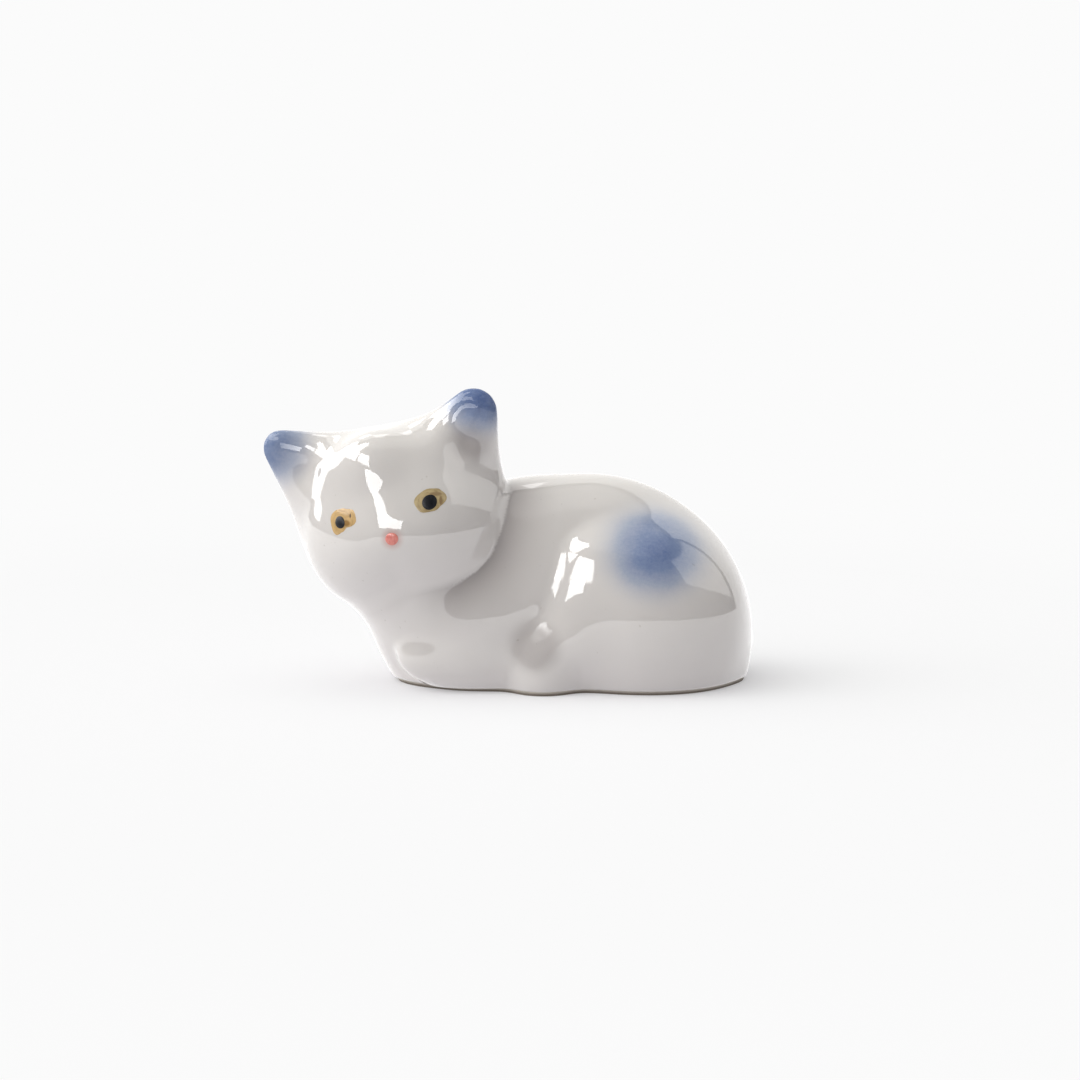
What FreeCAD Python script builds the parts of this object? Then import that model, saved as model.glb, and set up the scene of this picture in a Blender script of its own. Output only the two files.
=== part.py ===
import FreeCAD, Part
import math
import os

# Ceramic cat figurine: a small slip-cast porcelain kitten lying down, head turned to its own left.
# Nine pieces: two hollow castings, the slip joint between them, the clear glaze over both,
# and five raised dots of fired enamel (two irises, two pupils, one nose).
#
# Frame, in mm: +X runs from the chest to the rump, +Z is up, the face looks towards -Y.
# The origin lies on the plane the figurine rests on, in the middle of its length.
#
# Every rounded form is described by a field: a function of a point that is negative inside the
# clay, zero on its surface and positive outside, measured roughly in mm. The fields are sampled
# along rays from a centre, and a smooth closed surface is run through the samples.

# --- driving dimensions -------------------------------------------------------------------------
WALL = 2.4                    # thickness of the cast clay
GLAZE = 0.28                  # thickness of the fired glaze
DRY_FOOT = 0.45               # height of the bare strip above the resting plane
DRAIN_RADIUS = 2.6            # hole in the floor that lets slip drain out
DRAIN_CENTRE = (12.0, 0.0)
NECK_HOLE_RADIUS = 4.5        # hole from the head cavity into the body cavity

# Body forms: centre and radii of each ellipsoid. Paired limbs are mirrored across Y = 0.
BARREL = ((10.0, 0.0, 5.2), (20.8, 10.9, 20.8))
WITHERS = ((1.5, 0.0, 11.5), (10.0, 11.3, 13.2))
CHEST = ((-5.0, 0.0, 7.0), (11.3, 9.8, 11.0))
SHOULDER = ((-4.6, -7.2, 9.0), (7.0, 5.6, 6.8))
THROAT = ((-11.0, -2.5, 12.5), (6.8, 8.2, 8.0))
THIGH = ((17.2, -6.2, 8.6), (11.6, 8.8, 11.6))
HIND_FOOT = ((4.6, -8.6, 2.8), (4.6, 5.0, 6.0))
FRONT_PAW = ((-4.6, -8.6, 4.3), (8.6, 3.9, 3.9))
# The knee is the thigh's steep front edge: a rounded rod, as (centre, radius) of its two ends.
KNEE_LOW = ((7.4, -9.7, 6.5), 3.4)
KNEE_HIGH = ((9.9, -7.6, 15.4), 3.2)
# The tail lies along the far flank: centre line and radius of each stretch.
TAIL = (((28.6, 4.0, 4.6), 2.6), ((25.4, 10.2, 4.0), 2.6), ((18.0, 13.6, 3.4), 2.5), ((10.5, 13.0, 3.0), 2.2))
# Widths over which neighbouring forms melt into each other.
WITHERS_BLEND = 4.0
CHEST_BLEND = 5.0
SHOULDER_BLEND = 3.0
THROAT_BLEND = 4.0
KNEE_BLEND = 5.0
THIGH_BLEND_FRONT = 1.2       # a clear groove ahead of the thigh
THIGH_BLEND_REAR = 5.2        # no groove where the thigh runs into the rump
THIGH_BLEND_MIDDLE = 16.0     # X where the groove has half faded
THIGH_BLEND_REACH = 2.5
FOOT_BLEND = 2.0
PAW_BLEND = 1.4
TAIL_BLEND = 1.8

# Head: its centre, and how it is turned (yaw towards the chest, nose down, left ear raised).
HEAD_CENTRE = (-12.4, -3.0, 21.0)
HEAD_YAW = 9.0
HEAD_PITCH = -1.0
HEAD_ROLL = 11.8
# Head forms, in the head's own directions: (towards the cat's left, forward, up).
SKULL = ((-0.4, 0.0, 0.2), (12.1, 10.6, 11.2))
FACE = ((-0.3, 3.0, 0.8), (9.8, 6.9, 8.6))
CHEEK = ((3.8, 2.4, -2.3), (7.3, 7.8, 7.1))
CHEEK_SHIFT = 0.2
MUZZLE = ((0.0, 8.3, -1.8), (5.0, 3.2, 3.0))
NOSE_BRIDGE = (((0.2, 9.9, -0.4), 1.4), ((-1.6, 6.4, 8.0), 2.2))
BROW_MIDDLE = ((-1.4, 5.4, 7.0), 2.8)
BROW_RIGHT_END = ((-8.8, 3.0, 7.6), 2.4)
BROW_LEFT_END = ((7.8, 3.2, 7.8), 2.2)
LEFT_EAR = (((5.7, 0.2, 4.4), 6.8), ((11.7, 3.4, 11.6), 2.5))
RIGHT_EAR = (((-6.6, 0.2, 4.2), 7.2), ((-13.2, 3.4, 11.8), 1.9))
EAR_FLATNESS = 0.6            # ear thickness front to back, as a share of its width
EAR_HOLLOW = ((10.6, 7.6, 9.2), (2.4, 3.0, 3.0))
FACE_BLEND = 3.0
CHEEK_BLEND = 4.0
MUZZLE_BLEND = 4.0
BRIDGE_BLEND = 3.0
BROW_BLEND = 3.5
EAR_BLEND = 2.5
HOLLOW_BLEND = 1.8

# Neck joint: slip brushed into the seam, wide under the chin and tight behind the head.
COLLAR_INSET = 0.3            # how far below the head's surface the collar would meet it
COLLAR_BLEND_CHIN = 4.0
COLLAR_BLEND_NAPE = 3.0
COLLAR_CHIN_X = -12.0
COLLAR_NAPE_X = -1.0
COLLAR_STEP = 0.6             # roundness of the collar's hidden upper edge
COLLAR_HEIGHT_SHARE = 0.6     # height of the collar above the body, as a share of its blend
COLLAR_SINK = 0.03            # the slip starts this far under the clay, so it ends in a clean edge

# Enamel dots: centre in the head's (left, up) directions. Each outline is a ring of corners given as
# (degrees turned from the cat's left, distance from the centre).
RIGHT_EYE = (-5.92, 1.94)
LEFT_EYE = (5.5, 2.3)
NOSE = (0.45, -1.05)
RIGHT_IRIS_OUTLINE = ((0, 2.2), (27, 2.3), (60, 1.75), (87, 1.56), (130, 1.52), (188, 1.34),
                      (238, 1.62), (275, 1.2), (312, 1.06))
LEFT_IRIS_OUTLINE = ((3, 1.97), (40, 1.75), (73, 1.54), (120, 1.55), (164, 1.84), (200, 1.6),
                     (265, 1.15), (320, 1.35))
RIGHT_PUPIL_OUTLINE = ((0, 0.75), (90, 0.85), (180, 0.76), (270, 0.8))
LEFT_PUPIL_OUTLINE = ((0, 0.98), (90, 0.93), (180, 0.97), (270, 0.98))
NOSE_OUTLINE = ((0, 0.8), (90, 0.74), (180, 0.78), (270, 0.78))
IRIS_LIFT = 0.10
PUPIL_LIFT = 0.24
NOSE_LIFT = 0.16
DOT_SINK = 0.08               # depth of the dot's hidden rim under the glaze before trimming

# Sampling of the smooth surfaces: samples round the axis, and from one pole to the other.
BODY_SAMPLES = (144, 72)
HEAD_SAMPLES = (144, 80)
DOT_SAMPLES = (48, 24)
BODY_CENTRE = (5.0, 0.0, 7.5)
BODY_POLE_TILT = 52.0         # degrees the sampling axis leans back, so its poles fall in neck and base
FAR = 80.0                    # larger than the figurine, for trimming boxes


# --- small vector helpers -----------------------------------------------------------------------
def add_scaled(point, direction, amount):
    return (point[0] + direction[0] * amount,
            point[1] + direction[1] * amount,
            point[2] + direction[2] * amount)


def dot(a, b):
    return a[0] * b[0] + a[1] * b[1] + a[2] * b[2]


def minus(a, b):
    return (a[0] - b[0], a[1] - b[1], a[2] - b[2])


def mixed(a, amount_a, b, amount_b):
    return (a[0] * amount_a + b[0] * amount_b,
            a[1] * amount_a + b[1] * amount_b,
            a[2] * amount_a + b[2] * amount_b)


def head_directions():
    """The head's own left, forward and up directions after yaw, pitch and roll."""
    yaw = math.radians(HEAD_YAW)
    pitch = math.radians(HEAD_PITCH)
    roll = math.radians(HEAD_ROLL)
    side = (math.cos(yaw), -math.sin(yaw), 0.0)
    front = (-math.sin(yaw), -math.cos(yaw), 0.0)
    forward = mixed(front, math.cos(pitch), (0.0, 0.0, 1.0), math.sin(pitch))
    top = mixed(front, -math.sin(pitch), (0.0, 0.0, 1.0), math.cos(pitch))
    left = mixed(side, math.cos(roll), top, math.sin(roll))
    up = mixed(side, -math.sin(roll), top, math.cos(roll))
    return left, forward, up


HEAD_LEFT, HEAD_FORWARD, HEAD_UP = head_directions()


def to_head(point):
    """A point of the figurine, in the head's own directions."""
    offset = minus(point, HEAD_CENTRE)
    return (dot(offset, HEAD_LEFT), dot(offset, HEAD_FORWARD), dot(offset, HEAD_UP))


def from_head(local):
    """A point given in the head's own directions, in the figurine's frame."""
    point = add_scaled(HEAD_CENTRE, HEAD_LEFT, local[0])
    point = add_scaled(point, HEAD_FORWARD, local[1])
    return add_scaled(point, HEAD_UP, local[2])


# --- fields of the basic forms --------------------------------------------------------------------
def ellipsoid(point, form):
    (cx, cy, cz), (rx, ry, rz) = form
    x = (point[0] - cx) / rx
    y = (point[1] - cy) / ry
    z = (point[2] - cz) / rz
    reach = math.sqrt(x * x + y * y + z * z)
    if reach < 1e-6:
        return -min(rx, ry, rz)
    slope = math.sqrt((x / rx) ** 2 + (y / ry) ** 2 + (z / rz) ** 2)
    return reach * (reach - 1.0) / slope


def capsule(point, end_a, end_b):
    """A rounded rod whose radius changes evenly from one end to the other."""
    centre_a, radius_a = end_a
    centre_b, radius_b = end_b
    along = minus(centre_b, centre_a)
    offset = minus(point, centre_a)
    share = min(1.0, max(0.0, dot(offset, along) / dot(along, along)))
    gap = add_scaled(offset, along, -share)
    return math.sqrt(dot(gap, gap)) - (radius_a + (radius_b - radius_a) * share)


def ear_cone(point, ends):
    """A round-nosed cone, flattened front to back."""
    (base, base_radius), (tip, tip_radius) = ends
    stretch = 1.0 / EAR_FLATNESS
    start = (base[0], base[1] * stretch, base[2])
    along = (tip[0] - base[0], (tip[1] - base[1]) * stretch, tip[2] - base[2])
    offset = minus((point[0], point[1] * stretch, point[2]), start)
    length = math.sqrt(dot(along, along))
    height = dot(offset, along) / length
    aside = math.sqrt(max(0.0, dot(offset, offset) - height * height))
    lean = (base_radius - tip_radius) / length
    upright = math.sqrt(1.0 - lean * lean)
    foot = height * upright - aside * lean
    if foot < 0.0:
        gap = math.sqrt(aside * aside + height * height) - base_radius
    elif foot > upright * length:
        gap = math.sqrt(aside * aside + (height - length) ** 2) - tip_radius
    else:
        gap = aside * upright + height * lean - base_radius
    return gap * EAR_FLATNESS


def melt(a, b, width):
    """Union of two fields with a soft join."""
    overlap = max(width - abs(a - b), 0.0) / width
    return min(a, b) - overlap * overlap * width * 0.25


def hollow_out(a, b, width):
    """First field with the second taken away, with a soft edge."""
    return -melt(-a, b, width)


def eased(value, low, high):
    """Goes smoothly from 0 at low to 1 at high."""
    share = min(1.0, max(0.0, (value - low) / (high - low)))
    return share * share * (3.0 - 2.0 * share)


# --- fields of the castings -----------------------------------------------------------------------
def head_field_local(point):
    """Head clay, with the point given in the head's own directions."""
    paired = (abs(point[0]), point[1], point[2])
    cheek_point = (abs(point[0] + CHEEK_SHIFT), point[1], point[2])
    field = ellipsoid(point, SKULL)
    field = melt(field, ellipsoid(point, FACE), FACE_BLEND)
    field = melt(field, ellipsoid(cheek_point, CHEEK), CHEEK_BLEND)
    field = melt(field, ellipsoid(point, MUZZLE), MUZZLE_BLEND)
    field = melt(field, capsule(point, NOSE_BRIDGE[0], NOSE_BRIDGE[1]), BRIDGE_BLEND)
    field = melt(field, capsule(point, BROW_MIDDLE, BROW_RIGHT_END), BROW_BLEND)
    field = melt(field, capsule(point, BROW_MIDDLE, BROW_LEFT_END), BROW_BLEND)
    field = melt(field, ear_cone(point, LEFT_EAR), EAR_BLEND)
    field = melt(field, ear_cone(point, RIGHT_EAR), EAR_BLEND)
    return hollow_out(field, ellipsoid(paired, EAR_HOLLOW), HOLLOW_BLEND)


def head_field(point):
    return head_field_local(to_head(point))


def body_field(point):
    """Body clay: trunk, chest, throat, limbs and the tail laid along the far flank."""
    paired = (point[0], -abs(point[1]), point[2])
    fade = 1.0 / (1.0 + math.exp((THIGH_BLEND_MIDDLE - point[0]) / THIGH_BLEND_REACH))
    thigh_blend = THIGH_BLEND_FRONT + (THIGH_BLEND_REAR - THIGH_BLEND_FRONT) * fade
    thigh = melt(ellipsoid(paired, THIGH), capsule(paired, KNEE_LOW, KNEE_HIGH), KNEE_BLEND)
    field = ellipsoid(point, BARREL)
    field = melt(field, ellipsoid(point, WITHERS), WITHERS_BLEND)
    field = melt(field, ellipsoid(point, CHEST), CHEST_BLEND)
    field = melt(field, ellipsoid(paired, SHOULDER), SHOULDER_BLEND)
    field = melt(field, ellipsoid(point, THROAT), THROAT_BLEND)
    field = melt(field, thigh, thigh_blend)
    field = melt(field, ellipsoid(paired, HIND_FOOT), FOOT_BLEND)
    field = melt(field, ellipsoid(paired, FRONT_PAW), PAW_BLEND)
    for start, end in zip(TAIL, TAIL[1:]):
        field = melt(field, capsule(point, start, end), TAIL_BLEND)
    return field


def collar_field(point):
    """Body with the neck flared softly up to the head, ending just inside the head."""
    body = body_field(point)
    towards_nape = eased(point[0], COLLAR_CHIN_X, COLLAR_NAPE_X)
    blend = COLLAR_BLEND_CHIN + (COLLAR_BLEND_NAPE - COLLAR_BLEND_CHIN) * towards_nape
    height = COLLAR_STEP + COLLAR_HEIGHT_SHARE * blend
    flared = melt(body, head_field(point) + COLLAR_INSET, blend)
    return hollow_out(flared, height - body, COLLAR_STEP)


# --- sampling a field along a ray -----------------------------------------------------------------
def reach_of_level(field, start, direction, reach, level):
    """Distance along the ray, from inside outwards, where the field first rises to the level."""
    close_enough = 0.05
    longest_walk = 200
    gap = level - field(add_scaled(start, direction, reach))
    for walked in range(longest_walk):
        if gap < close_enough:
            break
        reach += 0.8 * gap
        gap = level - field(add_scaled(start, direction, reach))
    return polished_reach(field, start, direction, reach, level)


def polished_reach(field, start, direction, reach, level):
    """Close in on the level from a nearby distance, by the secant rule."""
    previous = reach
    previous_gap = level - field(add_scaled(start, direction, previous))
    current = reach + 0.7 * previous_gap + 1e-4
    for turn in range(8):
        gap = level - field(add_scaled(start, direction, current))
        if abs(gap) < 1e-7 or abs(gap - previous_gap) < 1e-12:
            break
        following = current - gap * (current - previous) / (gap - previous_gap)
        following = min(current + 0.3, max(current - 0.3, following))
        previous, previous_gap, current = current, gap, following
    return current


def rays(samples, pole, across, aside):
    """Unit directions on a sphere: rows round the pole axis, columns from pole to pole."""
    around, down = samples
    table = []
    for i in range(around):
        turn = 2.0 * math.pi * i / around
        outward = mixed(across, math.cos(turn), aside, math.sin(turn))
        row = []
        for j in range(down + 1):
            tilt = math.pi * j / down
            row.append(mixed(pole, math.cos(tilt), outward, math.sin(tilt)))
        table.append(row)
    return table


def sampled_levels(field, centre, directions, levels):
    """One grid of surface points for each level of the field, all along the same rays."""
    grids = [[] for level in levels]
    for row in directions:
        rows = [[] for level in levels]
        for direction in row:
            reach = 0.5
            for index, level in enumerate(levels):
                reach = reach_of_level(field, centre, direction, reach, level)
                rows[index].append(add_scaled(centre, direction, reach))
        for grid, points in zip(grids, rows):
            grid.append(points)
    return grids


# --- smooth closed surfaces through the samples ----------------------------------------------------
def closed_curve_poles(values):
    """Poles of the periodic cubic spline that passes through evenly spaced values."""
    root = math.sqrt(3.0) - 2.0
    count = len(values)
    memory = 40
    forward = [0.0] * count
    carried = 0.0
    for index in range(-memory, count):
        carried = values[index % count] + root * carried
        if index >= 0:
            forward[index] = carried
    poles = [0.0] * count
    carried = 0.0
    for index in range(count + memory - 1, -1, -1):
        carried = root * (carried - forward[index % count])
        if index < count:
            poles[index] = 6.0 * carried
    return poles


def smooth_solid(grid):
    """Closed solid whose surface passes through a grid of points laid out from pole to pole."""
    around = len(grid)
    down = len(grid[0]) - 1
    full_turn = 2 * down
    opposite = around // 2
    coordinates = []
    for axis in range(3):
        loops = []
        for i in range(around):
            near = [grid[i][j][axis] for j in range(down + 1)]
            back = [grid[(i + opposite) % around][j][axis] for j in range(down - 1, 0, -1)]
            loops.append(closed_curve_poles(near + back))
        coordinates.append([closed_curve_poles([loop[j] for loop in loops]) for j in range(full_turn)])
    poles = []
    for i in range(around):
        row = []
        for j in range(full_turn):
            x, y, z = (coordinate[j - 1][i - 1] for coordinate in coordinates)
            row.append(FreeCAD.Vector(x, y, z))
        poles.append(row)
    surface = Part.BSplineSurface()
    surface.buildFromPolesMultsKnots(
        poles, [1] * (around + 1), [1] * (full_turn + 1),
        [float(k) for k in range(around + 1)], [float(k) for k in range(full_turn + 1)],
        True, True, 3, 3)
    surface.segment(0.0, float(around), 0.0, float(down))
    solid = Part.Solid(Part.Shell([surface.toShape()]))
    if solid.Volume < 0.0:
        solid.reverse()
    return solid


def main_solid(shape):
    """The largest solid of a result, without any stray crumbs left by trimming."""
    return max(shape.Solids, key=lambda solid: solid.Volume)


def slab_below(height):
    return Part.makeBox(2.0 * FAR, 2.0 * FAR, FAR, FreeCAD.Vector(-FAR, -FAR, height - FAR))


# --- enamel dots ----------------------------------------------------------------------------------
def forward_reach(left, up, level):
    """How far forward of the head's centre the field has the given level, in one column."""
    outside = 16.0
    step = 0.25
    reach = outside
    while head_field_local((left, reach - step, up)) > level:
        reach -= step
    inner = reach - step
    for halving in range(30):
        middle = 0.5 * (inner + reach)
        if head_field_local((left, middle, up)) > level:
            reach = middle
        else:
            inner = middle
    return 0.5 * (inner + reach)


def outline_radius(outline, degrees):
    """Distance from a dot's centre to its outline in one direction, eased between the corners."""
    closed = outline + ((outline[0][0] + 360, outline[0][1]),)
    if degrees < closed[0][0]:
        degrees += 360.0
    for (start, radius_a), (end, radius_b) in zip(closed, closed[1:]):
        if degrees <= end:
            return radius_a + (radius_b - radius_a) * eased(degrees, start, end)
    return closed[-1][1]


def enamel_blob(centre, outline, lift):
    """A lens of enamel following the head's curve; its rim is hidden under the glaze."""
    around, down = DOT_SAMPLES
    depth_swing = lift + DOT_SINK
    rim_share = math.sqrt(1.0 - (DOT_SINK / depth_swing) ** 2)
    grid = []
    for i in range(around):
        turn = 2.0 * math.pi * i / around
        radius = outline_radius(outline, math.degrees(turn)) / rim_share
        row = []
        for j in range(down + 1):
            tilt = math.pi * j / down
            left = centre[0] + radius * math.sin(tilt) * math.cos(turn)
            up = centre[1] + radius * math.sin(tilt) * math.sin(turn)
            level = GLAZE - DOT_SINK + depth_swing * math.cos(tilt)
            row.append(from_head((left, forward_reach(left, up, level), up)))
        grid.append(row)
    return smooth_solid(grid)


# --- the pieces -----------------------------------------------------------------------------------
def body_surfaces():
    """Solids bounded by the cavity, the clay, and by the slip and glaze over the collar."""
    tilt = math.radians(BODY_POLE_TILT)
    neckward = (-math.sin(tilt), 0.0, math.cos(tilt))
    backward = (math.cos(tilt), 0.0, math.sin(tilt))
    directions = rays(BODY_SAMPLES, neckward, (0.0, 1.0, 0.0), backward)
    cavity, clay = sampled_levels(body_field, BODY_CENTRE, directions, (-WALL, 0.0))
    slip, glaze = sampled_levels(collar_field, BODY_CENTRE, directions, (-COLLAR_SINK, GLAZE))
    return [smooth_solid(grid) for grid in (cavity, clay, slip, glaze)]


def head_surfaces():
    """Solids bounded by the head's cavity, its clay and its glaze."""
    rearward = (-HEAD_FORWARD[0], -HEAD_FORWARD[1], -HEAD_FORWARD[2])
    directions = rays(HEAD_SAMPLES, HEAD_UP, rearward, HEAD_LEFT)
    grids = sampled_levels(head_field, HEAD_CENTRE, directions, (-WALL, 0.0, GLAZE))
    return [smooth_solid(grid) for grid in grids]


def neck_hole():
    """Short round drill from the head's cavity down into the body's cavity."""
    start = FreeCAD.Vector(*HEAD_CENTRE)
    towards = FreeCAD.Vector(*BODY_CENTRE) - start
    return Part.makeCylinder(NECK_HOLE_RADIUS, towards.Length, start, towards)


def build_pieces():
    body_cavity, body_clay, collar_slip, collar_glaze = body_surfaces()
    head_cavity, head_clay, head_glaze = head_surfaces()

    head = main_solid(head_clay.cut(head_cavity).cut(neck_hole()))

    cavity = body_cavity.cut(slab_below(WALL))
    drain_centre = FreeCAD.Vector(DRAIN_CENTRE[0], DRAIN_CENTRE[1], -WALL)
    drain = Part.makeCylinder(DRAIN_RADIUS, 3.0 * WALL, drain_centre)
    body_block = body_clay.cut(slab_below(0.0))
    body = main_solid(body_block.cut(cavity).cut(drain).cut(head_clay))

    joint = main_solid(collar_slip.cut(body_clay).cut(head_clay))

    coated = collar_glaze.fuse(head_glaze).cut(slab_below(DRY_FOOT))
    glaze = main_solid(coated.cut(body_clay).cut(head_clay).cut(joint))

    pieces = {
        "body_casting": body,
        "head_casting": head,
        "neck_slip_joint": joint,
        "glaze_coat": glaze,
    }
    eyes = (
        ("right", RIGHT_EYE, RIGHT_IRIS_OUTLINE, RIGHT_PUPIL_OUTLINE),
        ("left", LEFT_EYE, LEFT_IRIS_OUTLINE, LEFT_PUPIL_OUTLINE),
    )
    for side, centre, iris_outline, pupil_outline in eyes:
        iris = main_solid(enamel_blob(centre, iris_outline, IRIS_LIFT).cut(head_glaze))
        pupil = enamel_blob(centre, pupil_outline, PUPIL_LIFT)
        pieces[side + "_iris"] = iris
        pieces[side + "_pupil"] = main_solid(pupil.cut(head_glaze).cut(iris))
    nose = enamel_blob(NOSE, NOSE_OUTLINE, NOSE_LIFT)
    pieces["nose_dot"] = main_solid(nose.cut(head_glaze))
    return pieces


os.makedirs("parts", exist_ok=True)
for name, shape in build_pieces().items():
    shape.exportStep("parts/" + name + ".step")
    box = shape.BoundBox
    print(name, "volume %.1f" % shape.Volume, "valid", shape.isValid(), "solids", len(shape.Solids),
          "x %.2f..%.2f" % (box.XMin, box.XMax), "y %.2f..%.2f" % (box.YMin, box.YMax),
          "z %.2f..%.2f" % (box.ZMin, box.ZMax))
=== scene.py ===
import math

import bmesh
import bpy
import numpy as np
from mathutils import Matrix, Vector
from mathutils.bvhtree import BVHTree


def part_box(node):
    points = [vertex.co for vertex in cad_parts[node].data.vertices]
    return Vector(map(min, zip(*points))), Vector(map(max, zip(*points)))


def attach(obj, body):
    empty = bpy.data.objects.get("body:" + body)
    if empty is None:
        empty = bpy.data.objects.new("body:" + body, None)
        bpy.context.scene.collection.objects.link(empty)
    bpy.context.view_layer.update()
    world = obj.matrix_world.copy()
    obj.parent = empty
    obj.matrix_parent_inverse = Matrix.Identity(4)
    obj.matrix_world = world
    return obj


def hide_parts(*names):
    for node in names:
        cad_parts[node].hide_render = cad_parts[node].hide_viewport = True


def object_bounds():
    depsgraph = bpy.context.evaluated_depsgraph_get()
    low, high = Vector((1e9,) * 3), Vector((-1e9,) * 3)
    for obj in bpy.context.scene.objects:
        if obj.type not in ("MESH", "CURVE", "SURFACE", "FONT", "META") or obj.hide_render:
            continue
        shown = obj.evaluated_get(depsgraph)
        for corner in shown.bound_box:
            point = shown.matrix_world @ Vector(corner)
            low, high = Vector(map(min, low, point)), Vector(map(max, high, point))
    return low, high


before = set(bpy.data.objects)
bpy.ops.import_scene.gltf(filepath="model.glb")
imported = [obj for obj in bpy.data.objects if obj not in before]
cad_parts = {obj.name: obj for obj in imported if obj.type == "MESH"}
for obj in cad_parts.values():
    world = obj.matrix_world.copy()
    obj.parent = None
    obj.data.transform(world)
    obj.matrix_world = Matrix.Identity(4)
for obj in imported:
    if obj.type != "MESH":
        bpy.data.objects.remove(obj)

# Ceramic cat figurine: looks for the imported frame. Everything is in metres, in the frame's axes:
# +X towards the rump, -Y towards the viewer, +Z up, resting on Z = 0.

MM = 0.001
CAD_LOW, CAD_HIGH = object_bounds()
SIZE = CAD_HIGH - CAD_LOW
MIDDLE = (CAD_LOW + CAD_HIGH) / 2

CLAY_NODES = ("body_casting", "head_casting", "neck_slip_joint")

# --- the glaze skin ---------------------------------------------------------------------------------
VOXEL = 0.24 * MM                 # cell of the remesh
SMOOTHING_ROUNDS = 24
SMOOTHING_FACTOR = 0.5
GLAZE_THICKNESS = 0.3 * MM        # the CAD's coat, rounded up
TOUCHING = 0.12 * MM              # glaze faces nearer to the clay than this are its inner faces
FOOT_MARGIN = 1e-6                # glaze faces within this of its lower rim are the rim
WELD = 1e-7

# The seam between head and body, pressed back into the skin and painted grey as shade, with the
# head's painted shadow beside it on the shoulder.
SEAM_DEPTH = 0.5                  # share of the seam's filling that is pressed back
SEAM_EASING_ROUNDS = 3
SEAM_CHIN_X = -13.0 * MM          # left of here the neck stays softly filled
SEAM_CHEEK_X = -5.0 * MM          # right of here the seam is deep
# strength of the painted shade in the seam
SEAM_PAINTED_SHADE = 0.95
SEAM_SHADE_EDGE = (0.25 * MM, 1.1 * MM)     # filling where the painted shade starts, and where it is full
SEAM_SHADE_CHIN_SHARE = 0.12       # how much of the seam's painted shade is left under the chin
CLEFT_REACH = 7.0 * MM            # how far the painted shadow spreads from the seam onto the shoulder
CLEFT_PAINTED_SHADOW = 1.1
CLEFT_FALLOFF = 1.3
CLEFT_FACING_REACH = 6.0 * MM     # the shoulder's painted shadow grows over this width of the near side

# Hollows, as shares of the CAD's length, width and height.
EAR_HOLLOW_PLACE = (0.422, 0.21, 0.82)
# painted shade in the ear hollow
EAR_PAINTED_SHADE = 0.85
EAR_SHADE_CORE = 0.8 * MM
EAR_SHADE_REACH = 3.4 * MM
FOOT_HOLLOW_PLACE = (0.548, 0.09, 0.165)
FOOT_HOLLOW_CORE = 1.8 * MM
FOOT_HOLLOW_REACH = 4.2 * MM
# painted shade in front of each hind foot
FOOT_PAINTED_SHADE = 0.55
FOOT_DULL = 0.93                  # share of the gloss taken off in the foot hollow
EAR_TIP_DULL = 0.72               # and off the ear tips, where mirrored panels break into streaks
EAR_TIP_CORE = 2.0 * MM
EAR_TIP_REACH = 5.5 * MM


# --- shader helpers ---------------------------------------------------------------------------------
class Shader:
    """Short names for building a node tree."""

    def __init__(self, tree):
        self.tree = tree
        tree.nodes.clear()

    def add(self, kind, **settings):
        node = self.tree.nodes.new(kind)
        for name, value in settings.items():
            setattr(node, name, value)
        return node

    def put(self, socket, value):
        """Feeds a socket from another socket or with a plain value."""
        if isinstance(value, bpy.types.NodeSocket):
            self.tree.links.new(value, socket)
        else:
            socket.default_value = value

    def math(self, operation, *values, clamp=False):
        node = self.add("ShaderNodeMath", operation=operation, use_clamp=clamp)
        for socket, value in zip(node.inputs, values):
            self.put(socket, value)
        return node.outputs[0]

    def vector(self, operation, *values):
        node = self.add("ShaderNodeVectorMath", operation=operation)
        for socket, value in zip(node.inputs, values):
            self.put(socket, value)
        scalar = operation in ("LENGTH", "DISTANCE", "DOT_PRODUCT")
        return node.outputs["Value"] if scalar else node.outputs[0]

    def ease(self, value, low, high):
        """0 at low, 1 at high, smooth in between; low may be the larger of the two."""
        node = self.add("ShaderNodeMapRange", interpolation_type="SMOOTHSTEP")
        self.put(node.inputs["Value"], value)
        node.inputs["From Min"].default_value = low
        node.inputs["From Max"].default_value = high
        return node.outputs["Result"]

    def blend(self, factor, a, b, kind="MIX"):
        node = self.add("ShaderNodeMix", data_type="RGBA", blend_type=kind)
        self.put(node.inputs["Factor"], factor)
        self.put(node.inputs["A"], a)
        self.put(node.inputs["B"], b)
        return next(out for out in node.outputs if out.type == "RGBA")

    def ramp(self, value, stops):
        node = self.add("ShaderNodeValToRGB")
        self.put(node.inputs[0], value)
        elements = node.color_ramp.elements
        while len(elements) < len(stops):
            elements.new(0.5)
        for element, (place, colour) in zip(elements, stops):
            element.position = place
            element.color = (*colour, 1.0)
        return node.outputs[0]

    def noise(self, scale, detail=2.0, where=None, roughness=0.5):
        node = self.add("ShaderNodeTexNoise")
        node.inputs["Scale"].default_value = scale
        node.inputs["Detail"].default_value = detail
        node.inputs["Roughness"].default_value = roughness
        if where is not None:
            self.put(node.inputs["Vector"], where)
        return node.outputs["Fac"]

    def window(self, value, low, high, soft):
        """1 between low and high, fading to 0 over a soft edge."""
        rise = self.ease(value, low - soft, low + soft)
        fall = self.ease(value, high + soft, high - soft)
        return self.math("MULTIPLY", rise, fall)


def new_material(name):
    material = bpy.data.materials.new(name)
    material.use_nodes = True
    return material, Shader(material.node_tree)


def principled(shader, **inputs):
    node = shader.add("ShaderNodeBsdfPrincipled")
    for name, value in inputs.items():
        shader.put(node.inputs[name.replace("_", " ")], value)
    output = shader.add("ShaderNodeOutputMaterial")
    shader.tree.links.new(node.outputs[0], output.inputs["Surface"])
    return node


def rgba(r, g, b):
    return (r, g, b, 1.0)


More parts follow.
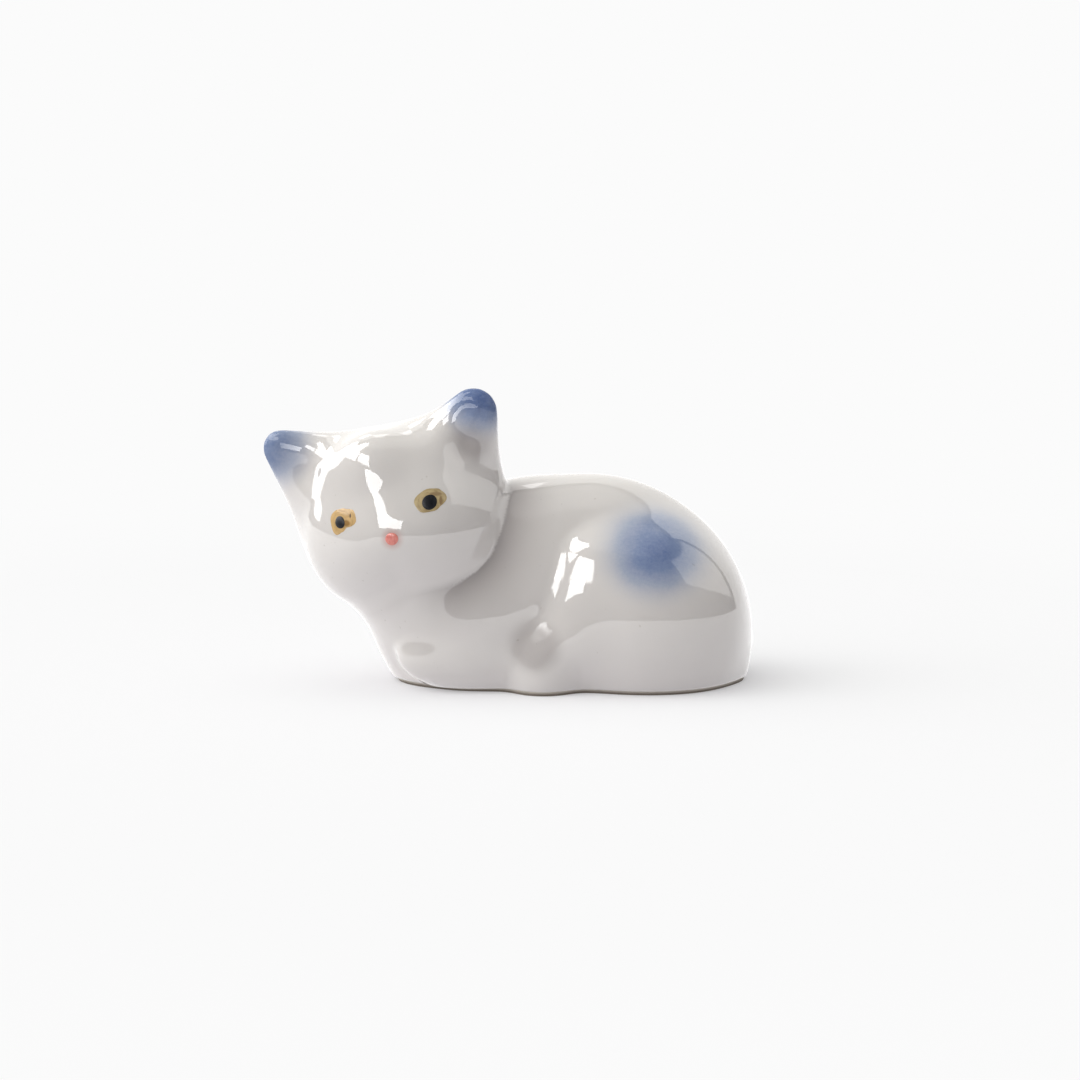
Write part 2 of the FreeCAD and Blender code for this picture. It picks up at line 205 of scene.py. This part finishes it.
# --- materials --------------------------------------------------------------------------------------
# How much light passes each amount of cobalt under the glaze.
COBALT_STEPS = ((0.0, (1.0, 1.0, 1.0)), (0.3, (0.53, 0.61, 0.79)),
                (0.6, (0.278, 0.375, 0.62)), (1.0, (0.12, 0.195, 0.45)))
PORCELAIN_LIGHT = (0.735, 0.693, 0.690)
PORCELAIN_DARK = (0.705, 0.664, 0.662)
# colour of the painted shade in the hollows
SEAM_SHADE = (0.56, 0.54, 0.55)
SPECK = (0.35, 0.3, 0.26)
SPECK_SHARE = 0.25
BLUSH = (0.86, 0.60, 0.57)
DROPLET_SCALE = 2600.0            # noise scales are in cells per metre
DROPLET_CONTRAST = 0.5
DRIFT_SCALE = 260.0
DRIFT_CONTRAST = 0.7
RIPPLE_SCALE = 420.0
RIPPLE_STRENGTH = 0.012
RIPPLE_DEPTH = 0.05 * MM
GLAZE_ROUGHNESS = 0.004
GLAZE_IOR = 1.68


def porcelain_material():
    """White porcelain under clear glaze, with cobalt and blush sprayed where the mesh says so."""
    material, s = new_material("glazed_porcelain")
    here = s.add("ShaderNodeTexCoord").outputs["Object"]
    cobalt = s.add("ShaderNodeAttribute", attribute_name="cobalt").outputs["Fac"]
    blush = s.add("ShaderNodeAttribute", attribute_name="blush").outputs["Fac"]
    painted_shade = s.add("ShaderNodeAttribute", attribute_name="painted_shade").outputs["Fac"]
    dull = s.add("ShaderNodeAttribute", attribute_name="dull").outputs["Fac"]
    droplets = around_one(s, s.noise(DROPLET_SCALE, 3.0, here, 0.7), DROPLET_CONTRAST)
    drift = around_one(s, s.noise(DRIFT_SCALE, 2.0, here), DRIFT_CONTRAST)
    density = s.math("MULTIPLY", cobalt, s.math("MULTIPLY", droplets, drift), clamp=True)
    stain = s.ramp(density, COBALT_STEPS)
    white = s.blend(s.noise(90.0, 3.0, here), rgba(*PORCELAIN_LIGHT), rgba(*PORCELAIN_DARK))
    specks = s.ease(s.noise(1500.0, 1.0, here), 0.76, 0.82)
    white = s.blend(s.math("MULTIPLY", specks, SPECK_SHARE), white, rgba(*SPECK))
    white = s.blend(blush, white, s.blend(1.0, white, rgba(*BLUSH), "MULTIPLY"))
    # painted shade in the seam, on the shoulder, in the ear hollow and in front of the hind feet
    white = s.blend(painted_shade, white, s.blend(1.0, white, rgba(*SEAM_SHADE), "MULTIPLY"))
    colour = s.blend(1.0, white, stain, "MULTIPLY")
    ripple = relief(s, s.noise(RIPPLE_SCALE, 2.0, here), RIPPLE_STRENGTH, RIPPLE_DEPTH)
    principled(s, Base_Color=colour, Roughness=0.45, Specular_IOR_Level=0.0,
               Subsurface_Weight=0.1, Subsurface_Radius=(1.0, 0.9, 0.8), Subsurface_Scale=1.0 * MM,
               Coat_Weight=s.math("SUBTRACT", 1.0, dull), Coat_Roughness=GLAZE_ROUGHNESS,
               Coat_IOR=GLAZE_IOR, Coat_Normal=ripple)
    return material


def around_one(s, noise, contrast):
    """Noise turned into a factor that varies about 1."""
    return s.math("MULTIPLY_ADD", s.math("SUBTRACT", noise, 0.5), contrast, 1.0)


def relief(s, height, strength, depth):
    """The normal of a bump with the given height field."""
    bump = s.add("ShaderNodeBump")
    bump.inputs["Strength"].default_value = strength
    bump.inputs["Distance"].default_value = depth
    s.put(bump.inputs["Height"], height)
    return bump.outputs[0]


BISQUE_LIGHT = (0.74, 0.69, 0.62)
BISQUE_DARK = (0.62, 0.56, 0.49)
# Grime and painted contact shadow, darkest at the resting plane.
FOOT_GRIME_AND_SHADOW = (0.07, 0.045, 0.03)
GRIME_AND_SHADOW_SHARE = 0.8
GRIME_AND_SHADOW_TOP = 0.6 * MM              # above this height the foot has neither grime nor painted shadow
GRIME_AND_SHADOW_BOTTOM = 0.1 * MM


def bisque_material():
    """Bare fired clay: dry, slightly grainy, darkened near the resting plane partly by grime from
    handling and partly by painted contact shadow.
    """
    material, s = new_material("bare_bisque")
    here = s.add("ShaderNodeTexCoord").outputs["Object"]
    height = s.add("ShaderNodeSeparateXYZ")
    s.put(height.inputs[0], here)
    grime_and_shadow = s.ease(height.outputs["Z"], GRIME_AND_SHADOW_TOP, GRIME_AND_SHADOW_BOTTOM)
    clay = s.blend(s.noise(900.0, 4.0, here), rgba(*BISQUE_DARK), rgba(*BISQUE_LIGHT))
    colour = s.blend(s.math("MULTIPLY", grime_and_shadow, GRIME_AND_SHADOW_SHARE), clay, rgba(*FOOT_GRIME_AND_SHADOW))
    grain = relief(s, s.noise(5000.0, 3.0, here), 0.3, 0.03 * MM)
    principled(s, Base_Color=colour, Roughness=0.85, Normal=grain)
    return material


def enamel_material(name, light, dark, streak_scale, streak_mix, gloss):
    """Fired enamel colour laid on with a brush: streaks of thick and thin paint under gloss."""
    material, s = new_material(name)
    here = s.add("ShaderNodeTexCoord").outputs["Object"]
    strokes = s.noise(streak_scale, 3.0, s.vector("MULTIPLY", here, (1.0, 1.0, 0.45)), 0.6)
    mix = s.math("MULTIPLY", s.ease(strokes, 0.42, 0.62), streak_mix)
    colour = s.blend(mix, rgba(*light), rgba(*dark))
    finish_enamel(s, colour, strokes, gloss)
    return material


def finish_enamel(s, colour, height, gloss):
    """Brush relief on the enamel, with the given share of gloss over it."""
    grain = relief(s, height, 0.2, 0.02 * MM)
    principled(s, Base_Color=colour, Roughness=0.4, Coat_Weight=gloss, Coat_Roughness=0.08,
               Specular_IOR_Level=0.2 + 0.4 * gloss, Normal=grain)


IRIS_GLOSS = 0.45
STROKE_TURN = 0.25 * MM           # how far a stroke's noise runs per radian round the pupil


def iris_material(name, pupil, light, dark, marks):
    """Ochre enamel brushed round the pupil, with darker marks over it.

    Each mark is (right, up, half width, half height, colour), in mm from the pupil's middle.
    """
    material, s = new_material(name)
    low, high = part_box(pupil)
    middle = (low + high) / 2
    here = s.add("ShaderNodeTexCoord").outputs["Object"]
    offset = s.vector("SUBTRACT", here, tuple(middle))
    flat = s.vector("MULTIPLY", offset, (1.0, 0.0, 1.0))
    away = s.vector("LENGTH", flat)
    parts = s.add("ShaderNodeSeparateXYZ")
    s.put(parts.inputs[0], offset)
    turn = s.math("ARCTAN2", parts.outputs["Z"], parts.outputs["X"])
    arc = s.add("ShaderNodeCombineXYZ")
    s.put(arc.inputs["X"], away)
    s.put(arc.inputs["Y"], s.math("MULTIPLY", turn, STROKE_TURN))
    strokes = s.noise(3600.0, 3.0, arc.outputs[0], 0.65)
    mottle = s.noise(1500.0, 2.0, here)
    brushed = s.math("MULTIPLY", s.ease(strokes, 0.42, 0.68), 0.5)
    mottled = s.math("MULTIPLY", s.ease(mottle, 0.4, 0.7), 0.3)
    thick = s.math("ADD", brushed, mottled, clamp=True)
    colour = s.blend(thick, rgba(*light), rgba(*dark))
    for right, up, half_width, half_height, paint in marks:
        centre = (right * MM, 0.0, up * MM)
        reach = (1.0 / (half_width * MM), 0.0, 1.0 / (half_height * MM))
        scaled = s.vector("MULTIPLY", s.vector("SUBTRACT", flat, centre), reach)
        distance = s.math("SUBTRACT", s.vector("LENGTH", scaled), 0.25)
        cover = s.ease(s.math("MULTIPLY_ADD", strokes, 0.5, distance), 1.15, 0.6)
        colour = s.blend(cover, colour, rgba(*paint))
    finish_enamel(s, colour, strokes, IRIS_GLOSS)
    return material


# --- meshes -----------------------------------------------------------------------------------------
def merged_mesh(*names):
    """One welded bmesh of one or more CAD nodes."""
    joined = bmesh.new()
    for node in names:
        joined.from_mesh(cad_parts[node].data)
    bmesh.ops.remove_doubles(joined, verts=joined.verts, dist=WELD)
    return joined


def outer_glaze():
    """The outside of the glaze as a closed block: its outer faces, capped at the dry foot."""
    clay = merged_mesh(*CLAY_NODES)
    clay_tree = BVHTree.FromBMesh(clay)
    skin = merged_mesh("glaze_coat")
    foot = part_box("glaze_coat")[0].z
    inner = []
    for face in skin.faces:
        centre = face.calc_center_median()
        nearest = clay_tree.find_nearest(centre)
        touching = nearest[3] < TOUCHING
        under = centre.z < foot + FOOT_MARGIN
        if touching or under:
            inner.append(face)
    bmesh.ops.delete(skin, geom=inner, context="FACES")
    open_edges = [edge for edge in skin.edges if edge.is_boundary]
    bmesh.ops.holes_fill(skin, edges=open_edges, sides=0)
    bmesh.ops.recalc_face_normals(skin, faces=skin.faces)
    mesh = bpy.data.meshes.new("glaze_skin")
    skin.to_mesh(mesh)
    skin.free()
    clay.free()
    return mesh


def even_skin(mesh):
    """The glaze block remeshed into an even, smooth skin."""
    skin = bpy.data.objects.new("glaze_skin", mesh)
    bpy.context.scene.collection.objects.link(skin)
    remesh = skin.modifiers.new("even", "REMESH")
    remesh.mode = "VOXEL"
    remesh.voxel_size = VOXEL
    remesh.use_smooth_shade = True
    smooth = skin.modifiers.new("smooth", "SMOOTH")
    smooth.factor = SMOOTHING_FACTOR
    smooth.iterations = SMOOTHING_ROUNDS
    evaluated = skin.evaluated_get(bpy.context.evaluated_depsgraph_get())
    baked = bpy.data.meshes.new_from_object(evaluated)
    skin.modifiers.clear()
    skin.data = baked
    return skin


def eased(value, low, high):
    """0 at low, 1 at high, smooth in between; low may be the larger of the two."""
    share = np.clip((value - low) / (high - low), 0.0, 1.0)
    return share * share * (3.0 - 2.0 * share)


def corner_of(node, direction):
    """The vertex of a CAD node that reaches furthest in one direction."""
    points = vertex_values(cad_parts[node].data, "co")
    return points[np.argmax(points @ np.array(direction, float))]


# Each ear's spray: direction of the corner it was aimed at, strength, full within, gone beyond.
EAR_SPRAYS = (
    ((0.45, 0.0, 1.0), 1.0, 0.6 * MM, 6.6 * MM),
    ((-1.0, 0.0, 0.3), 0.66, 0.8 * MM, 7.4 * MM),
)
HAUNCH_PLACE = (0.789, 0.475)     # share of the length, share of the height
HAUNCH_STRENGTH = 0.76
HAUNCH_CORE = 0.3 * MM
HAUNCH_REACH = 9.0 * MM
HAUNCH_FALLOFF = 1.6
HAUNCH_STRETCH = (0.92, 1.08)     # the patch is a little longer than high
HAUNCH_BACK_WIDTH = 0.05          # share of the width kept clean on each side of the back's middle
HAUNCH_SIDE_WIDTH = 0.25
BLUSH_STRENGTH = 0.8
BLUSH_CORE = 0.6 * MM
BLUSH_REACH = 1.7 * MM


def spray_cobalt(skin):
    """Stores how much cobalt lies under the glaze at each vertex, and the blush round the nose."""
    mesh = skin.data
    points = vertex_values(mesh, "co")
    cobalt = np.zeros(len(points))
    for direction, strength, near, far in EAR_SPRAYS:
        away = distance_to(points, corner_of("head_casting", direction))
        cobalt = np.maximum(cobalt, strength * eased(away, far, near))
    haunch_x = CAD_LOW.x + HAUNCH_PLACE[0] * SIZE.x
    haunch_z = HAUNCH_PLACE[1] * SIZE.z
    along = points[:, 0] - haunch_x
    upward = points[:, 2] - haunch_z
    sideways = np.abs(points[:, 1])
    flank = eased(sideways, HAUNCH_BACK_WIDTH * SIZE.y, HAUNCH_SIDE_WIDTH * SIZE.y)
    away = np.hypot(along * HAUNCH_STRETCH[0], upward * HAUNCH_STRETCH[1])
    haunch = eased(away, HAUNCH_REACH, HAUNCH_CORE) ** HAUNCH_FALLOFF
    cobalt = np.maximum(cobalt, HAUNCH_STRENGTH * haunch * flank)
    store(mesh, "cobalt", cobalt)
    low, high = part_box("nose_dot")
    away = distance_to(points, np.array((low + high) / 2))
    store(mesh, "blush", BLUSH_STRENGTH * eased(away, BLUSH_REACH, BLUSH_CORE))


def deepen_seam(skin):
    """Presses the skin back into the seam beside the head.

    Returns the painted shade in the seam and the head's painted shadow beside it, at each vertex.
    """
    mesh = skin.data
    points = vertex_values(mesh, "co")
    normals = vertex_values(mesh, "normal")
    head = surface_tree("head_casting")
    body = surface_tree("body_casting")
    low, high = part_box("neck_slip_joint")
    above_low = points > np.array(low) - CLEFT_REACH
    below_high = points < np.array(high) + CLEFT_REACH
    near = np.all(above_low & below_high, axis=1)
    filled = np.zeros(len(points))
    cleft_shadow = np.zeros(len(points))
    for index in np.nonzero(near)[0]:
        place = Vector(points[index])
        to_head = head.find_nearest(place)[3]
        to_body = body.find_nearest(place)[3]
        filled[index] = max(0.0, min(to_head, to_body) - GLAZE_THICKNESS)
        # on the body's side the head's shadow is painted on, stronger nearer the head
        if to_body < to_head:
            cleft_shadow[index] = 1.0 - min(1.0, to_head / CLEFT_REACH)
    edges = np.empty(len(mesh.edges) * 2, dtype=np.int64)
    mesh.edges.foreach_get("vertices", edges)
    edges = edges.reshape(-1, 2)
    reach = eased(points[:, 0], SEAM_CHIN_X, SEAM_CHEEK_X)
    shift = normals * (-SEAM_DEPTH * filled * reach)[:, None]
    for _ in range(SEAM_EASING_ROUNDS):
        shift = averaged(shift, edges)
    mesh.vertices.foreach_set("co", (points + shift).ravel())
    mesh.update()
    along = SEAM_SHADE_CHIN_SHARE + (1.0 - SEAM_SHADE_CHIN_SHARE) * reach
    painted_shade = SEAM_PAINTED_SHADE * eased(filled, *SEAM_SHADE_EDGE) * along
    facing = eased(-points[:, 1], 0.0, CLEFT_FACING_REACH)
    return np.maximum(painted_shade, CLEFT_PAINTED_SHADOW * cleft_shadow ** CLEFT_FALLOFF * reach * facing)


def averaged(values, edges):
    """Each vertex's values averaged with its neighbours' values."""
    total = values.copy()
    count = np.ones(len(values))
    for here, there in ((0, 1), (1, 0)):
        np.add.at(total, edges[:, here], values[edges[:, there]])
        np.add.at(count, edges[:, here], 1.0)
    return total / count[:, None]


def vertex_values(mesh, name):
    """One row of three numbers for each vertex: its place ("co") or its normal."""
    values = np.empty(len(mesh.vertices) * 3)
    mesh.vertices.foreach_get(name, values)
    return values.reshape(-1, 3)


def distance_to(points, place):
    return np.linalg.norm(points - place, axis=1)


def share_place(*shares):
    """A point given as shares of the CAD's length, width and height."""
    return np.array(CAD_LOW) + np.array(shares) * np.array(SIZE)


def tone_hollows(skin, painted_shade):
    """Stores the grey toning and the missing gloss at each vertex.

    Both are choices of look, not properties of the glaze. The grey is painted shade that stands in
    for dark images in the seam, in the ear hollow and in front of each hind foot, so it stays there
    under any light.
    """
    mesh = skin.data
    points = vertex_values(mesh, "co")
    away = distance_to(points, share_place(*EAR_HOLLOW_PLACE))
    seam_and_ear_shade = np.maximum(painted_shade, EAR_PAINTED_SHADE * eased(away, EAR_SHADE_REACH, EAR_SHADE_CORE))
    dull = np.zeros(len(points))
    for direction, *_ in EAR_SPRAYS:
        away = distance_to(points, corner_of("head_casting", direction))
        dull = np.maximum(dull, EAR_TIP_DULL * eased(away, EAR_TIP_REACH, EAR_TIP_CORE))
    foot = np.zeros(len(points))
    mirrored = points * (1.0, -1.0, 1.0)
    for side in (points, mirrored):
        away = distance_to(side, share_place(*FOOT_HOLLOW_PLACE))
        foot = np.maximum(foot, eased(away, FOOT_HOLLOW_REACH, FOOT_HOLLOW_CORE))
    store(mesh, "dull", np.maximum(dull, foot * FOOT_DULL))
    store(mesh, "painted_shade", np.maximum(seam_and_ear_shade, FOOT_PAINTED_SHADE * foot))


def surface_tree(node):
    """A search tree over a CAD node's surface."""
    surface = merged_mesh(node)
    tree = BVHTree.FromBMesh(surface)
    surface.free()
    return tree


def store(mesh, name, values):
    """Keeps one number per vertex under a name that a material reads."""
    layer = mesh.attributes.new(name, "FLOAT", "POINT")
    layer.data.foreach_set("value", values)


# --- surroundings -----------------------------------------------------------------------------------
# What the glaze mirrors, by direction in degrees: azimuth 0 is behind the camera, + to the right.
# Panels are (azimuth low, high, elevation low, high, edge softness, glow); later ones add light.
ROOM_GLOW = 0.06
PANELS = (
    (-200.0, -136.0, -90.0, 64.0, 0.4, 1.3),      # pale backdrop, left part
    (122.0, 200.0, -90.0, 64.0, 0.4, 1.3),        # pale backdrop, right part
    (-135.0, -104.0, 4.0, 26.0, 0.5, 5.0),        # tall window, lower part
    (-135.0, -67.0, 26.0, 48.0, 0.5, 7.0),        # tall window, upper part
    (-112.0, -74.0, 48.0, 74.0, 1.0, 7.0),        # light above the window
    (-62.0, -26.0, 29.0, 48.0, 1.5, 7.5),         # softbox
    (-200.0, -165.0, 52.0, 68.0, 1.0, 2.0),       # lamps behind
    (-165.0, -148.0, 38.0, 50.0, 1.0, 3.0),
    (-200.0, 200.0, 70.0, 95.0, 4.0, 0.5),        # ceiling
)
SIDE_SHEET_CORNER = (50.0, 32.0)   # azimuth and elevation of the side sheet's upper left corner
SIDE_SHEET_SLOPE = 2.6             # degrees of azimuth per degree of elevation along its edge
SIDE_SHEET_END = 116.5
SIDE_SHEET_TOP = 58.0
SIDE_SHEET_SOFT = 0.4
SIDE_SHEET_TOP_SOFT = 2.0
SIDE_SHEET_GLOW = 1.15
# What lights the matte clay: a dome that is brightest overhead, and a broad light from the left.
DOME_TOP = 1.3
KEY_PLACE = (-80.0, 35.0)          # azimuth and elevation of the broad light on the left
KEY_GLOW = 2.2
KEY_TIGHTNESS = 4.0
DOME_LOW = 0.02
DOME_COLOUR = rgba(0.985, 1.0, 0.945)
MIRROR_COLOUR = rgba(1.0, 0.99, 0.98)
PAPER = rgba(0.965, 0.965, 0.965)


def studio_world():
    """Three surroundings, one for each kind of ray.

    The glaze mirrors panels, the clay is lit by a dome, and the camera sees plain paper, so what is
    mirrored isn't what lights the clay.
    """
    world = bpy.data.worlds.new("studio")
    bpy.context.scene.world = world
    world.use_nodes = True
    world.cycles.sampling_method = "NONE"
    s = Shader(world.node_tree)
    direction = s.add("ShaderNodeTexCoord").outputs["Generated"]
    parts = s.add("ShaderNodeSeparateXYZ")
    s.put(parts.inputs[0], direction)
    x, y, z = parts.outputs
    mirrored = background(s, mirrored_glow(s, x, y, z), MIRROR_COLOUR)
    dome = background(s, dome_glow(s, direction, z), DOME_COLOUR)
    paper = background(s, 1.0, PAPER)
    rays = s.add("ShaderNodeLightPath")
    lit = mixed_shader(s, rays.outputs["Is Diffuse Ray"], mirrored, dome)
    seen = mixed_shader(s, rays.outputs["Is Camera Ray"], lit, paper)
    output = s.add("ShaderNodeOutputWorld")
    s.put(output.inputs["Surface"], seen)


def background(s, strength, colour):
    node = s.add("ShaderNodeBackground")
    s.put(node.inputs["Strength"], strength)
    node.inputs["Color"].default_value = colour
    return node.outputs[0]


def mixed_shader(s, share, first, second):
    node = s.add("ShaderNodeMixShader")
    s.put(node.inputs[0], share)
    s.put(node.inputs[1], first)
    s.put(node.inputs[2], second)
    return node.outputs[0]


def dome_glow(s, direction, z):
    """Brightness of the soft light on the clay, by direction."""
    upward = s.math("MAXIMUM", z, 0.0)
    top = s.math("MULTIPLY", s.math("MULTIPLY", upward, upward), DOME_TOP)
    aim = s.vector("DOT_PRODUCT", direction, tuple(towards(*KEY_PLACE)))
    key = s.math("POWER", s.math("MAXIMUM", aim, 0.0), KEY_TIGHTNESS)
    return s.math("ADD", s.math("ADD", top, s.math("MULTIPLY", key, KEY_GLOW)), DOME_LOW)


def towards(azimuth, elevation):
    """Unit vector of a direction; azimuth 0 points at the camera's side, + to the right."""
    az = math.radians(azimuth)
    el = math.radians(elevation)
    return Vector((math.cos(el) * math.sin(az), -math.cos(el) * math.cos(az), math.sin(el)))


def mirrored_glow(s, x, y, z):
    """Brightness of what the glaze mirrors, by direction."""
    degrees = 180.0 / math.pi
    azimuth = s.math("MULTIPLY", s.math("ARCTAN2", x, s.math("MULTIPLY", y, -1.0)), degrees)
    elevation = s.math("MULTIPLY", s.math("ARCSINE", z), degrees)
    total = ROOM_GLOW
    for low_az, high_az, low_el, high_el, soft, glow in PANELS:
        across = s.window(azimuth, low_az, high_az, soft)
        upward = s.window(elevation, low_el, high_el, soft)
        share = s.math("MULTIPLY", across, upward)
        total = s.math("ADD", total, s.math("MULTIPLY", share, glow))
    sheet = side_sheet(s, azimuth, elevation)
    return s.math("ADD", total, s.math("MULTIPLY", sheet, SIDE_SHEET_GLOW))


def side_sheet(s, azimuth, elevation):
    """1 inside the large sheet on the right, whose near edge slopes away below its corner."""
    corner_az, corner_el = SIDE_SHEET_CORNER
    drop = s.math("SUBTRACT", corner_el, elevation)
    edge = s.math("MULTIPLY_ADD", drop, SIDE_SHEET_SLOPE, corner_az)
    edge = s.math("MAXIMUM", edge, corner_az)
    past_edge = s.ease(s.math("SUBTRACT", azimuth, edge), -SIDE_SHEET_SOFT, SIDE_SHEET_SOFT)
    before_end = s.ease(azimuth, SIDE_SHEET_END + SIDE_SHEET_SOFT, SIDE_SHEET_END - SIDE_SHEET_SOFT)
    under_top = s.ease(elevation, SIDE_SHEET_TOP + SIDE_SHEET_TOP_SOFT,
                       SIDE_SHEET_TOP - SIDE_SHEET_TOP_SOFT)
    return s.math("MULTIPLY", s.math("MULTIPLY", past_edge, before_end), under_top)


SHEET_COLOUR = rgba(0.873, 0.86, 0.91)
SHEET_BOUNCE = rgba(0.64, 0.63, 0.665)      # darker where it throws light back on the clay
SHEET_MIRROR_GAIN = 0.5           # the sheet reads brighter in the glaze than to the camera
SHEET_GLOW_SHARE = 0.3            # share of paper's glow mixed in everywhere, to lighten shadows
SHEET_FADE = (0.07, 0.2)          # distance where the sheet starts to turn to paper, and where it has
SHEET_REACH = 0.9


def floor():
    """Pale sheet under the figurine that fades into the paper behind it."""
    mesh = bpy.data.meshes.new("floor")
    quarters = ((-1, -1), (1, -1), (1, 1), (-1, 1))
    corners = [(SHEET_REACH * x, SHEET_REACH * y, 0.0) for x, y in quarters]
    mesh.from_pydata(corners, [], [(0, 1, 2, 3)])
    sheet = bpy.data.objects.new("floor", mesh)
    bpy.context.scene.collection.objects.link(sheet)
    material, s = new_material("pale_sheet")
    here = s.add("ShaderNodeTexCoord").outputs["Object"]
    away = s.vector("DISTANCE", here, tuple(MIDDLE * Vector((1.0, 1.0, 0.0))))
    fade = s.math("MAXIMUM", s.ease(away, *SHEET_FADE), SHEET_GLOW_SHARE)
    matte = s.add("ShaderNodeBsdfDiffuse")
    rays = s.add("ShaderNodeLightPath")
    bounce = s.blend(rays.outputs["Is Diffuse Ray"], SHEET_COLOUR, SHEET_BOUNCE)
    s.put(matte.inputs["Color"], bounce)
    glow = s.add("ShaderNodeEmission")
    glow.inputs["Color"].default_value = PAPER
    mix = mixed_shader(s, fade, matte.outputs[0], glow.outputs[0])
    # glow added to the sheet that only reflections in the glaze see
    glow_in_glaze = s.add("ShaderNodeEmission")
    gain = s.math("MULTIPLY", rays.outputs["Is Glossy Ray"], SHEET_MIRROR_GAIN)
    s.put(glow_in_glaze.inputs["Strength"], gain)
    total = s.add("ShaderNodeAddShader")
    s.put(total.inputs[0], mix)
    s.put(total.inputs[1], glow_in_glaze.outputs[0])
    output = s.add("ShaderNodeOutputMaterial")
    s.put(output.inputs["Surface"], total.outputs[0])
    mesh.materials.append(material)


# A small light card near the head, mirrored in the forehead.
FOREHEAD_FROM_NOSE = Vector((-2.0, 2.0, 6.0)) * MM
CARD_FROM_HEAD = (-18.0, 19.0)    # azimuth and elevation
CARD_DISTANCE = 34.0 * MM
CARD_SIZE = (26.0 * MM, 12.0 * MM)
CARD_GLOW = 7.0


def head_card():
    """A light that only the glaze sees: it doesn't light the clay and the camera can't see it."""
    low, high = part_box("nose_dot")
    head = (low + high) / 2 + FOREHEAD_FROM_NOSE
    data = bpy.data.lights.new("head_card", "AREA")
    data.shape = "RECTANGLE"
    data.size, data.size_y = CARD_SIZE
    data.energy = CARD_GLOW * math.pi * CARD_SIZE[0] * CARD_SIZE[1]
    card = bpy.data.objects.new("head_card", data)
    bpy.context.scene.collection.objects.link(card)
    away = towards(*CARD_FROM_HEAD)
    card.location = head + away * CARD_DISTANCE
    card.rotation_mode = "QUATERNION"
    card.rotation_quaternion = away.to_track_quat("Z", "Y")
    card.visible_camera = False
    card.visible_diffuse = False


LENS = 90.0
SENSOR_WIDTH = 36.0
CAMERA_ELEVATION = 7.0
CAMERA_DISTANCE = 5.52            # in lengths of the figurine
AIM_ASIDE = 0.058                 # share of the length that the aim is to the right of the middle
AIM_BELOW = 0.0283                # share of the height that the aim is below the middle


def camera():
    """Long lens a little above the table, square on to the figurine's side."""
    elevation = math.radians(CAMERA_ELEVATION)
    target = Vector((MIDDLE.x + AIM_ASIDE * SIZE.x, 0.0, MIDDLE.z - AIM_BELOW * SIZE.z))
    distance = CAMERA_DISTANCE * SIZE.x
    back = Vector((0.0, -math.cos(elevation), math.sin(elevation)))
    data = bpy.data.cameras.new("camera")
    data.lens = LENS
    data.sensor_width = SENSOR_WIDTH
    data.clip_start = 0.01
    data.clip_end = 10.0
    holder = bpy.data.objects.new("camera", data)
    bpy.context.scene.collection.objects.link(holder)
    holder.location = target + back * distance
    holder.rotation_mode = "QUATERNION"
    holder.rotation_quaternion = (-back).to_track_quat("-Z", "Y")
    bpy.context.scene.camera = holder


# --- assembly ---------------------------------------------------------------------------------------
skin = even_skin(outer_glaze())
tone_hollows(skin, deepen_seam(skin))
spray_cobalt(skin)
skin.data.materials.clear()
skin.data.materials.append(porcelain_material())
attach(skin, "root")
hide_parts("glaze_coat")

bisque = bisque_material()
BROWN = (0.30, 0.15, 0.03)
SEPIA = (0.05, 0.02, 0.01)
UMBER = (0.30, 0.20, 0.10)
DARK_UMBER = (0.28, 0.18, 0.09)
LEFT_MARKS = (
    (0.7, 0.95, 0.9, 0.25, UMBER),
    (1.35, 0.2, 0.2, 0.6, DARK_UMBER),
)
RIGHT_MARKS = (
    (0.8, -0.05, 0.5, 0.42, BROWN),
    (1.3, 0.85, 0.1, 0.3, SEPIA),
    (0.2, 1.35, 0.5, 0.07, BROWN),
)
left_ochre = iris_material("ochre_enamel_left", "left_pupil",
                           light=(0.50, 0.38, 0.20), dark=(0.27, 0.18, 0.08), marks=LEFT_MARKS)
right_ochre = iris_material("ochre_enamel_right", "right_pupil",
                            light=(0.60, 0.38, 0.15), dark=(0.36, 0.21, 0.07), marks=RIGHT_MARKS)
black = enamel_material("black_enamel", light=(0.006, 0.007, 0.010), dark=(0.016, 0.016, 0.020),
                        streak_scale=1800.0, streak_mix=0.6, gloss=0.0)
pink = enamel_material("pink_enamel", light=(0.78, 0.25, 0.21), dark=(0.66, 0.15, 0.13),
                       streak_scale=2400.0, streak_mix=0.8, gloss=0.5)
NODE_MATERIALS = {
    "body_casting": bisque,
    "head_casting": bisque,
    "neck_slip_joint": bisque,
    "right_iris": right_ochre,
    "left_iris": left_ochre,
    "right_pupil": black,
    "left_pupil": black,
    "nose_dot": pink,
}
for node, material in NODE_MATERIALS.items():
    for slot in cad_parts[node].material_slots:
        slot.material = material

studio_world()
floor()
head_card()
camera()

bpy.context.scene.view_settings.view_transform = "Standard"
